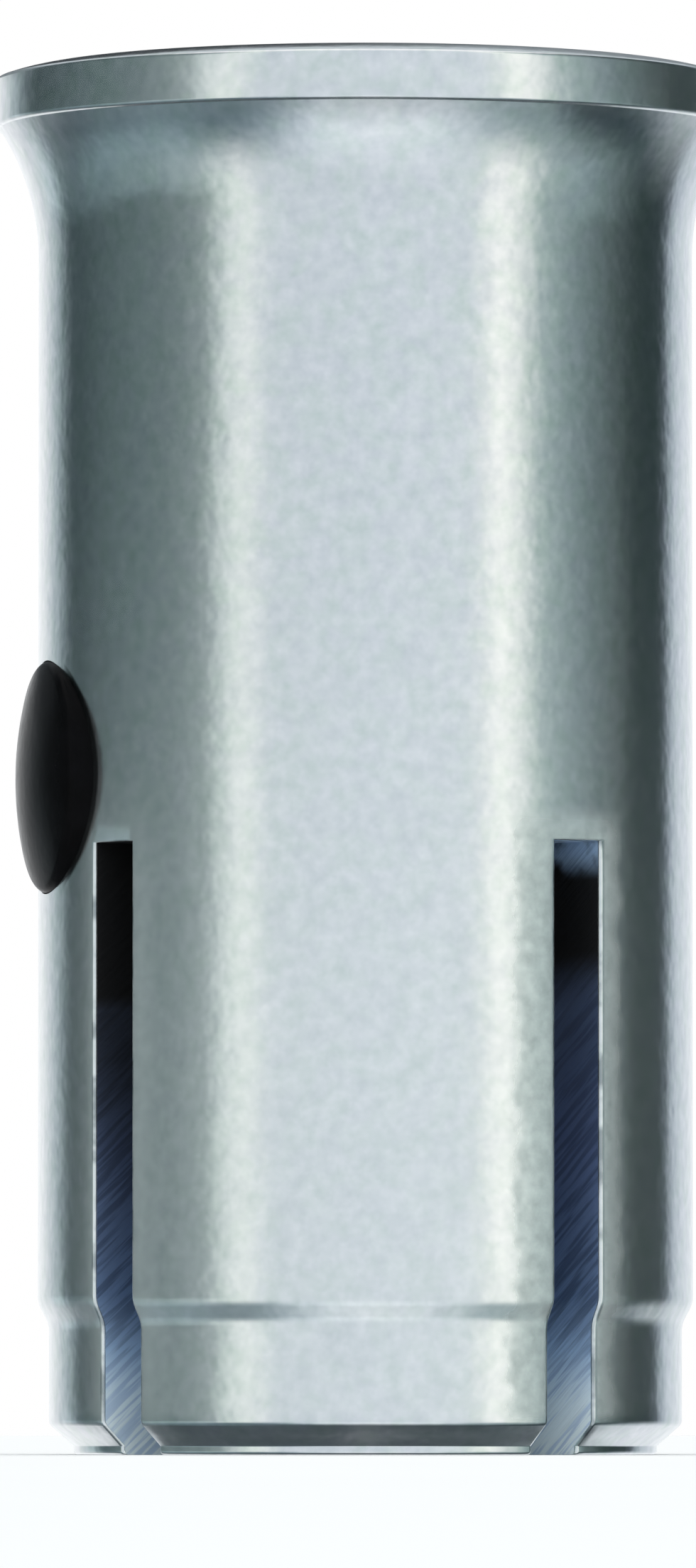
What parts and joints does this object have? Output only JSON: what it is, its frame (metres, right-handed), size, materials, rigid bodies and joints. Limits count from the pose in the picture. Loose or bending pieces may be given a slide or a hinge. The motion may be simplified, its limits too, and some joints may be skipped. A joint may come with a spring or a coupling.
{
  "type": "drop-in anchor",
  "caption": "Lipped drop-in anchor: a flanged steel sleeve with an internal thread and a slotted expanding end, a loose tapered plug inside and a black button in its wall.",
  "frame": {"origin": "on the sleeve's axis, in the plane of its foot", "axes": "+Z along the axis from the slotted foot to the flange and the thread's mouth, -Y through the middle of the front leg"},
  "size_m": [0.0134, 0.0134, 0.025],
  "materials": {
    "zinc_plated_steel": "bright zinc plating with a fine mottled grain, bluish saw marks in the cut faces",
    "plug_steel": "turned and lightly oiled steel",
    "black_plastic": "moulded black plastic, slightly glossy"
  },
  "bodies": {
    "anchor": {"sleeve": "zinc_plated_steel", "retaining_button": "black_plastic"},
    "plug": {"expansion_plug": "plug_steel"}
  },
  "joints": [
    {"name": "plug_slide", "type": "slide", "parent": "anchor", "child": "plug", "axis": [0, 0, 1], "range_m": [0, 0.0021]}
  ]
}
